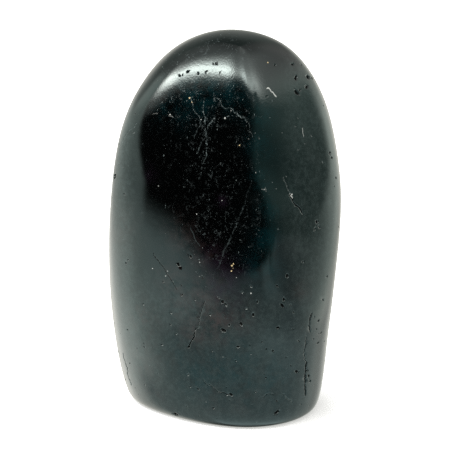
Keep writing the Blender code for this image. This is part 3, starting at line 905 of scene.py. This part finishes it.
def spots(points, places, reaches, amounts):
    """Soft round spots of given reach and amount, the strongest at each point."""
    field = np.zeros(len(points))
    for place, reach, amount in zip(places, reaches, amounts):
        distance = np.linalg.norm(points - place, axis=1)
        field = np.maximum(field, amount * np.exp(-((distance / reach) ** 2)))
    return field


def front_spots(points, rows):
    """Soft spots on the front, from rows of pixel across and down, reach and amount."""
    rows = np.array(rows)
    return spots(points, front_points(rows[:, :2]), rows[:, 2], rows[:, 3])


def fleck_spots(points, rows):
    """Small ragged flecks with firm edges, from rows of pixel across and down, and width."""
    rows = np.array(rows)
    reaches = rows[:, 2] / FLECK_SHARPNESS
    field = spots(points, front_points(rows[:, :2]), reaches, np.ones(len(rows)))
    ragged = 1.0 + FLECK_RAGGEDNESS * lattice_noise(points, FLECK_RAG, 13)
    return np.clip(field * ragged * 2.0 - 0.8, 0.0, 1.0)


class Nodes:
    """Short ways to add and link the nodes of one shader tree."""

    def __init__(self, tree):
        self.tree = tree

    def add(self, kind, values=(), **settings):
        """A node with its settings, and values or links for its inputs, by name or place."""
        node = self.tree.nodes.new("ShaderNode" + kind)
        for name, value in settings.items():
            setattr(node, name, value)
        for key, value in dict(values).items():
            self.put(node.inputs[key], value)
        return node

    def put(self, socket, value):
        """Give an input a value, or link it to an output."""
        if isinstance(value, bpy.types.NodeSocket):
            self.tree.links.new(value, socket)
        else:
            socket.default_value = value

    def math(self, operation, *values):
        return self.add("Math", enumerate(values), operation=operation).outputs[0]

    def combined(self, operation, values):
        """One operation run through several values, from the first to the last."""
        result = values[0]
        for value in values[1:]:
            result = self.math(operation, result, value)
        return result

    def product(self, *values):
        return self.combined("MULTIPLY", values)

    def total(self, *values):
        return self.combined("ADD", values)

    def less(self, value, taken):
        return self.math("SUBTRACT", value, taken)

    def clamped(self, value):
        node = self.add("Math", {0: value, 1: 0.0}, operation="ADD", use_clamp=True)
        return node.outputs[0]

    def vector(self, operation, first, second):
        node = self.add("VectorMath", {0: first, 1: second}, operation=operation)
        return node.outputs[0]

    def step(self, value, start, end, low=0.0, high=1.0):
        """A smooth step in a value, from low at start to high at end."""
        values = {"Value": value, "From Min": start, "From Max": end, "To Min": low, "To Max": high}
        node = self.add("MapRange", values, interpolation_type="SMOOTHSTEP")
        return node.outputs["Result"]

    def between(self, value, rise, fall):
        """1 after a rise and before a fall, each a start and an end; there may be no rise."""
        falling = self.step(value, *fall, 1.0, 0.0)
        return self.product(self.step(value, *rise), falling) if rise else falling

    def window(self, value, low, high, soft):
        """1 between low and high, 0 outside, with soft sides. Low and high may be outputs."""
        side = soft / 2.0
        above = self.step(self.less(value, low), -side, side)
        return self.product(above, self.step(self.less(value, high), -side, side, 1.0, 0.0))

    def lit(self, light, share, colour):
        """The light with a share of a colour added to it."""
        return self.vector("ADD", light, self.vector("MULTIPLY", share, colour))

    def mix(self, share, first, second):
        values = {"Factor": share, 6: first, 7: second}
        return self.add("Mix", values, data_type="RGBA").outputs[2]

    def noise(self, place, size, detail, roughness, shift):
        """Noise from 0 to 1, with features of this size in the place's units."""
        values = {
            "Vector": self.vector("ADD", place, (shift, shift, shift)),
            "Scale": 1.0 / size, "Detail": detail, "Roughness": roughness,
        }
        return self.add("TexNoise", values).outputs["Fac"]

    def patches(self, place, size, detail, roughness, shift, start, end, low=0.0, high=1.0):
        """Noise as soft patches, from low where it is under start to high where it is over end."""
        noise = self.noise(place, size, detail, roughness, shift)
        return self.step(noise, start, end, low, high)

    def attribute(self, name):
        return self.add("Attribute", attribute_name=name).outputs["Fac"]


def new_material(name):
    """A new material, and the shader in it."""
    material = bpy.data.materials.new(name)
    material.use_nodes = True
    return material, material.node_tree.nodes["Principled BSDF"]


def placed(name, data):
    """A new object in the scene."""
    thing = bpy.data.objects.new(name, data)
    bpy.context.scene.collection.objects.link(thing)
    return thing


def dots(nodes, place, size, radius, kept, stretch=(1.0, 1.0, 1.0)):
    """Small scattered dots of random size and lightness, in the place's units."""
    shaped = nodes.vector("MULTIPLY", place, stretch)
    values = {"Vector": shaped, "Scale": 1.0 / size, "Randomness": 1.0}
    cells = nodes.add("TexVoronoi", values)
    chance = nodes.add("SeparateColor", {"Color": cells.outputs["Color"]})
    reach = nodes.step(chance.outputs[1], 0.0, 1.0, 0.4 * radius / size, radius / size)
    near = nodes.step(nodes.math("DIVIDE", cells.outputs["Distance"], reach), 1.0, 0.4)
    there = nodes.math("LESS_THAN", chance.outputs[0], kept)
    return nodes.product(near, there, nodes.math("POWER", chance.outputs[2], 2.0))


def squiggles(nodes, place, size, width, kept, shift):
    """Thin broken lines, where a noise passes through its middle value."""
    off = nodes.math("ABSOLUTE", nodes.less(nodes.noise(place, size, 3.0, 0.65, shift), 0.5))
    line = nodes.step(off, width, 0.3 * width)
    there = nodes.patches(place, 0.8 * size, 2.0, 0.6, shift + 9.0, 0.5, 0.62)
    return nodes.product(line, there, kept)


def clouded_colour(nodes, place):
    """The bare stone's colour under its clouds, haze and fine mottle, the last two partly painted
    sheen.
    """
    colour = STONE_COLOUR
    for number, (name, _, size, tone) in enumerate(CLOUD_KINDS):
        uneven = nodes.patches(place, size, 5.0, 0.65, 30.0 * number, 0.3, 0.62)
        share = nodes.clamped(nodes.product(nodes.attribute(name), uneven))
        colour = nodes.mix(share, colour, tone)

    across, _, height = nodes.add("SeparateXYZ", {0: place}).outputs
    aside = nodes.math("MAXIMUM", nodes.step(across, *HAZE_RIGHT), nodes.step(across, *HAZE_LEFT))
    away = nodes.math("MAXIMUM", nodes.step(height, *HAZE_BELOW), aside)
    turned = {"Vector": place, "Rotation": (0.0, STREAK_LEAN, 0.0), "Scale": STREAK_SHAPE}
    streaks = nodes.add("Mapping", turned).outputs[0]
    # Haze and mottle lie only outside the dark mirror, partly as painted sheen of the mirrored floor
    haze_sheen = nodes.product(nodes.patches(streaks, *HAZE_PATCHES), away, HAZE_SHARE)
    colour = nodes.mix(haze_sheen, colour, HAZE_SHEEN_COLOUR)
    mottle_sheen = nodes.product(nodes.patches(place, *MOTTLE_PATCHES), away, MOTTLE_SHARE)
    return nodes.mix(mottle_sheen, colour, MOTTLE_SHEEN_COLOUR)


def polish_marks(nodes, place):
    """How much of each kind of mark in the polish lies at a place, by its name in COATS."""
    dust_sparkle_mask = nodes.product(nodes.attribute("dust_and_sparkle"), nodes.patches(place, *DUST_CLUMPS))
    veins = nodes.product(nodes.attribute("vein"), nodes.patches(place, *VEIN_BREAKS))
    some = nodes.product(dust_sparkle_mask, 0.5)
    return {
        "fine dust and sparkle": dots(nodes, place, 0.36, 0.15, nodes.product(dust_sparkle_mask, 0.75)),
        "fibres": squiggles(nodes, place, 1.7, 0.03, dust_sparkle_mask, 50.0),
        "coarse dust and sparkle": dots(nodes, place, 0.8, 0.19, some),
        "ticks": dots(nodes, place, 0.7, 0.22, some, (1.7, 1.0, 0.5)),
        "sparse dots": dots(nodes, place, 3.0, 0.14, 0.05),
        "veins": nodes.clamped(veins),
        "flecks_and_glints": nodes.attribute("fleck_and_glint"),
        "inclusions": nodes.attribute("tan"),
    }


def polish_bump(nodes, place):
    """The faint unevenness of the polish, which is coarser on the crown."""
    height = nodes.add("SeparateXYZ", {0: place}).outputs["Z"]
    crown = nodes.total(nodes.step(height, *CROWN_GRAIN), nodes.step(height, *TOP_GRAIN))
    grain = nodes.product(nodes.noise(place, *GRAIN_NOISE), crown)
    relief = nodes.total(grain, nodes.product(nodes.noise(place, *WAVE_NOISE), WAVE_SHARE))
    values = {"Strength": 1.0, "Distance": RELIEF * MM, "Height": relief}
    return nodes.add("Bump", values).outputs["Normal"]


def stone_material():
    """Polished black tourmaline: mirror-dark, with dust, veins, pits and faint clouds, and painted
    shade, glints and sheen.
    """
    material, shader = new_material("polished_black_tourmaline")
    nodes = Nodes(material.node_tree)
    metres = nodes.add("TexCoord").outputs["Object"]
    scaled = {0: metres, "Scale": 1.0 / MM}
    place = nodes.add("VectorMath", scaled, operation="SCALE").outputs[0]
    pit_shade = nodes.attribute("pit_shade")
    colour = clouded_colour(nodes, place)
    worn = nodes.patches(place, *WORN_PATCHES)
    roughness = nodes.total(worn, nodes.product(pit_shade, PIT_ROUGHNESS))
    marks = polish_marks(nodes, place)
    for name, strength, tone, rough in COATS:
        colour = nodes.mix(nodes.product(marks[name], strength), colour, tone)
        roughness = nodes.total(roughness, nodes.product(marks[name], rough))

    # Painted shade in pits and cracks: the dark colour and the metal stand for the light that they
    # swallow
    painted_shade = nodes.step(pit_shade, *PAINTED_SHADE_STEP)
    colour = nodes.mix(painted_shade, colour, PIT_SHADE_COLOUR)

    nodes.put(shader.inputs["Base Color"], colour)
    nodes.put(shader.inputs["Metallic"], painted_shade)
    nodes.put(shader.inputs["Roughness"], nodes.clamped(roughness))
    nodes.put(shader.inputs["Normal"], polish_bump(nodes, place))
    shader.inputs["IOR"].default_value = STONE_IOR
    shader.inputs["Specular Tint"].default_value = MIRROR_TINT
    return material


def plain_skin():
    """The skin without marks, each cell cut along its shorter diagonal."""
    directions, squares = skin_layout(SIDE_CELLS, WALL_ROWS)
    points = stone_points(directions)
    diagonals = points[squares[:, [2, 3]]] - points[squares[:, [0, 1]]]
    shorter = np.argmin(np.linalg.norm(diagonals, axis=2), axis=1)
    squares = np.where(shorter[:, None] == 0, squares, np.roll(squares, -1, axis=1))
    return points, np.concatenate([squares[:, [0, 1, 2]], squares[:, [0, 2, 3]]])


def refined(points, triangles, pits, lines):
    """The skin with small enough cells beside every mark."""
    flecks_and_glints = np.array(FLECKS_AND_GLINTS + INCLUSIONS)
    places = [pits[0], front_points(flecks_and_glints[:, :2])] + [samples for samples, _, _ in lines]
    halves = [pits[1] * pits[3], flecks_and_glints[:, 2]]
    halves += [np.full(len(samples), half) for samples, half, _ in lines]
    places = np.concatenate(places)
    halves = np.concatenate(halves)
    for limit in CELL_LIMITS:
        points, triangles = split_near_marks(points, triangles, places, halves, limit)
    return points, triangles


def mark_fields(points, sink, crack, vein, scratch_and_glint):
    """How much of each kind of mark, painted shade, glints and sparkle among them, lies at every
    point, for the material to read.
    """
    patches = 0.5 + 0.5 * lattice_noise(points, DUST_PATCHES, 3)
    darkness = np.maximum(sink / PIT_SHADE_DEPTH, crack / CRACK_SHADE_DEPTH)
    fields = {
        "pit_shade": np.clip(darkness, 0.0, 1.0),
        "vein": vein,
        "dust_and_sparkle": np.maximum(front_spots(points, DUST_AND_SPARKLE_SPOTS), DUST_EVERYWHERE * patches ** 2 * 2.0),
        "fleck_and_glint": np.maximum(fleck_spots(points, FLECKS_AND_GLINTS), np.clip(scratch_and_glint, 0.0, 1.0)),
        "tan": fleck_spots(points, INCLUSIONS),
    }
    for name, clouds, _, _ in CLOUD_KINDS:
        fields[name] = front_spots(points, clouds)
    return fields


def relieved(points, normals, sink, crack, vein):
    """The points with the faces' slight swells, and the marks pressed in."""
    swell = sum(reach * lattice_noise(points, size, seed) for reach, size, seed in SWELLS)
    lift = swell - SWELL_SINK - sink - crack - VEIN_GROOVE * np.clip(vein, 0.0, 1.0)
    lift[points[:, 2] <= 0.0] = 0.0
    points = points + normals * lift[:, None]
    points[:, 2] = np.maximum(points[:, 2], 0.0)
    return points


def build_stone():
    """The stone's fine skin, as one closed mesh with its marks pressed in."""
    points, triangles = plain_skin()
    pits = all_pits(points)
    cracks = all_lines(FRONT_CRACKS, AROUND_CRACKS, 100)
    veins = all_lines(FRONT_VEINS, AROUND_VEINS, 200)
    scratches_and_glints = all_lines(FRONT_SCRATCHES_AND_GLINTS, (), 300)
    points, triangles = refined(points, triangles, pits, cracks + veins + scratches_and_glints)
    normals = outward_normals(points, triangles)
    tree = point_tree(points)
    sink = spread_pits(tree, points, normals, pits)
    crack = spread_lines(tree, points, cracks, 7)
    vein = spread_lines(tree, points, veins, 9)
    scratch_and_glint = spread_lines(tree, points, scratches_and_glints, 11)

    data = bpy.data.meshes.new("tourmaline_skin")
    data.from_pydata(relieved(points, normals, sink, crack, vein) * MM, [], triangles)
    data.shade_smooth()
    for name, values in mark_fields(points, sink, crack, vein, scratch_and_glint).items():
        attribute = data.attributes.new(name, "FLOAT", "POINT")
        attribute.data.foreach_set("value", np.ascontiguousarray(values, np.float32))
    data.materials.append(stone_material())
    stone = placed("tourmaline_skin", data)
    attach(stone, "root")
    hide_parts("tourmaline")


def build_floor():
    """A plain white floor, softly shaded where the foot of the stone comes down to it."""
    material, shader = new_material("white_floor")
    shader.inputs["Base Color"].default_value = (FLOOR_WHITE, FLOOR_WHITE, FLOOR_WHITE, 1.0)
    shader.inputs["Roughness"].default_value = 1.0
    shader.inputs["Specular IOR Level"].default_value = 0.0
    shader.inputs["Emission Color"].default_value = FLOOR_GLOW_COLOUR
    shader.inputs["Emission Strength"].default_value = FLOOR_GLOW
    data = bpy.data.meshes.new("floor")
    far = FLOOR_REACH
    data.from_pydata([(-far, -far, 0), (far, -far, 0), (far, far, 0), (-far, far, 0)], [], [range(4)])
    data.materials.append(material)
    floor = placed("floor", data)
    floor.visible_glossy = False


def overhead(nodes, azimuth, elevation):
    """The room overhead, bright in front of the stone and dim behind it."""
    off = nodes.math("ABSOLUTE", nodes.less(azimuth, SKY_MIDDLE))
    light = nodes.mix(nodes.step(off, *SKY_SIDES), SKY_BEHIND, SKY_ASIDE)
    light = nodes.lit(light, nodes.step(off, *SKY_FRONT), SKY_AHEAD)
    light = nodes.vector("MULTIPLY", nodes.step(elevation, *SKY_TOP), light)
    back = nodes.mix(nodes.step(elevation, *BACK_RISE), BACK_LOW, BACK_HIGH)
    return nodes.mix(nodes.step(elevation, *SKY_EDGE), light, back)


def laid_over(nodes, azimuth, elevation, light, rows):
    """The light with rows of WALLS laid over it, one after the other."""
    for across_rise, across_fall, up_rise, up_fall, colour, covers in rows:
        across = nodes.between(azimuth, across_rise, across_fall)
        share = nodes.product(across, nodes.between(elevation, up_rise, up_fall))
        if covers:
            light = nodes.mix(share, light, (*colour, 1.0))
        else:
            light = nodes.lit(light, share, colour)
    return light


def floor_in_front(nodes, azimuth, elevation):
    """The lit floor in front, uneven near the horizon and brighter towards the stone's foot."""
    lower = nodes.math("DIVIDE", nodes.less(NEAR_FLOOR, elevation), NEAR_FLOOR_SPAN)
    nearer = nodes.math("POWER", nodes.math("MAXIMUM", lower, 0.0), 2.0)
    level = nodes.total(FLOOR_LEVEL, nodes.product(nearer, NEAR_FLOOR_RISE))
    for across, upwards, amount in FLOOR_BANDS:
        band = nodes.product(nodes.window(azimuth, *across), nodes.window(elevation, *upwards))
        level = nodes.total(level, nodes.product(band, amount))
    return nodes.vector("MULTIPLY", level, FLOOR_TONE)


def dark_room(nodes, azimuth, elevation, arch):
    """The dark room behind the camera: how it shows under the arch, and its colour."""
    sill = nodes.total(nodes.step(azimuth, *SILL_FALL), nodes.step(azimuth, *SILL_RISE))
    sill = nodes.less(sill, nodes.product(nodes.window(azimuth, *SILL_DIP), SILL_DIP_DEPTH))
    side = nodes.less(ROOM_SIDE, nodes.math("MAXIMUM", elevation, 0.0))
    end = nodes.step(elevation, *ROOM_END)
    share = nodes.product(
        nodes.window(elevation, sill, arch, ROOM_EDGE),
        nodes.window(azimuth, side, ALL_ROUND, ROOM_SIDE_EDGE),
        nodes.window(azimuth, -ALL_ROUND, end, ROOM_END_EDGE),
    )
    middle, right, upper = ROOM_SHADES
    room = nodes.mix(nodes.step(azimuth, *middle), ROOM_LEFT, ROOM_MIDDLE)
    room = nodes.mix(nodes.step(azimuth, *right), room, ROOM_RIGHT)
    return share, nodes.vector("MULTIPLY", nodes.step(elevation, *upper), room)


def with_soft_box(nodes, azimuth, elevation, arch, light):
    """The light with a long soft box along the arch, brightest to the left, glowing upwards."""
    above = nodes.less(elevation, arch)
    past = nodes.math("MAXIMUM", nodes.less(above, BOX_HEIGHT), 0.0)
    fading = nodes.math("POWER", nodes.step(azimuth, *BOX_FADING), past)
    rise = nodes.total(nodes.step(above, *BOX_EDGE), nodes.step(above, *BOX_HALO))
    glow = nodes.product(rise, fading)
    for across_rise, across_fall, colour in BOX_PARTS:
        share = nodes.product(glow, nodes.between(azimuth, across_rise, across_fall))
        light = nodes.lit(light, share, colour)
    return light


def studio_light(nodes, azimuth, elevation):
    """What the stone mirrors: the light's colour by azimuth and elevation, in degrees."""
    light = overhead(nodes, azimuth, elevation)
    light = laid_over(nodes, azimuth, elevation, light, WALLS)
    across_rise, across_fall, up_fall = FLOOR_EDGES
    across = nodes.between(azimuth, across_rise, across_fall)
    front = nodes.product(across, nodes.between(elevation, None, up_fall))
    light = nodes.mix(front, light, floor_in_front(nodes, azimuth, elevation))
    light = laid_over(nodes, azimuth, elevation, light, LOW_CORNER)
    light = nodes.vector("MULTIPLY", nodes.step(elevation, *UNDERSIDE), light)

    arch = nodes.less(nodes.step(azimuth, *ARCH_RISE), nodes.step(azimuth, *ARCH_FALL))
    arch = nodes.total(arch, nodes.product(nodes.window(azimuth, *ARCH_BULGE), ARCH_BULGE_HEIGHT))
    share, room = dark_room(nodes, azimuth, elevation, arch)
    light = nodes.mix(share, light, room)
    return with_soft_box(nodes, azimuth, elevation, arch, light)


def build_studio():
    """The light all round: mirrored by the stone, and even where it falls on the floor."""
    world = bpy.data.worlds.new("studio")
    bpy.context.scene.world = world
    world.use_nodes = True
    nodes = Nodes(world.node_tree)
    direction = nodes.add("TexCoord").outputs["Generated"]
    x, y, z = nodes.add("SeparateXYZ", {0: direction}).outputs
    elevation = nodes.product(nodes.math("ARCSINE", z), math.degrees(1.0))
    azimuth = nodes.math("ARCTAN2", x, nodes.product(y, -1.0))
    azimuth = nodes.product(azimuth, math.degrees(1.0))
    light = studio_light(nodes, azimuth, elevation)
    mirrored = nodes.add("LightPath").outputs["Is Glossy Ray"]
    light = nodes.mix(mirrored, EVEN_LIGHT, light)
    nodes.put(world.node_tree.nodes["Background"].inputs["Color"], light)

    lamp = bpy.data.lights.new("overhead_panel", "AREA")
    lamp.shape = "SQUARE"
    lamp.size = PANEL_SIDE
    lamp.energy = PANEL_POWER
    panel = placed("overhead_panel", lamp)
    panel.location = PANEL_PLACE
    panel.rotation_euler = (0.0, math.atan2(PANEL_PLACE[0], PANEL_PLACE[2]), 0.0)
    panel.visible_glossy = False
    panel.visible_camera = False


def build_camera():
    """The camera, where the picture was taken from."""
    eye, ahead, upward, rightward = camera_axes()
    data = bpy.data.cameras.new("camera")
    data.sensor_fit = "HORIZONTAL"
    data.sensor_width = SENSOR
    data.lens = PICTURE_FOCUS / PICTURE_SIZE * SENSOR
    data.clip_start, data.clip_end = CAMERA_SPAN
    camera = placed("camera", data)
    turn = Matrix((rightward, upward, -ahead)).transposed().to_4x4()
    camera.matrix_world = Matrix.Translation(Vector(eye * MM)) @ turn
    bpy.context.scene.camera = camera


build_camera()
build_stone()
build_floor()
build_studio()
bpy.context.scene.view_settings.view_transform = "Standard"
bpy.context.scene.view_settings.look = "None"
bpy.context.scene.cycles.use_denoising = False
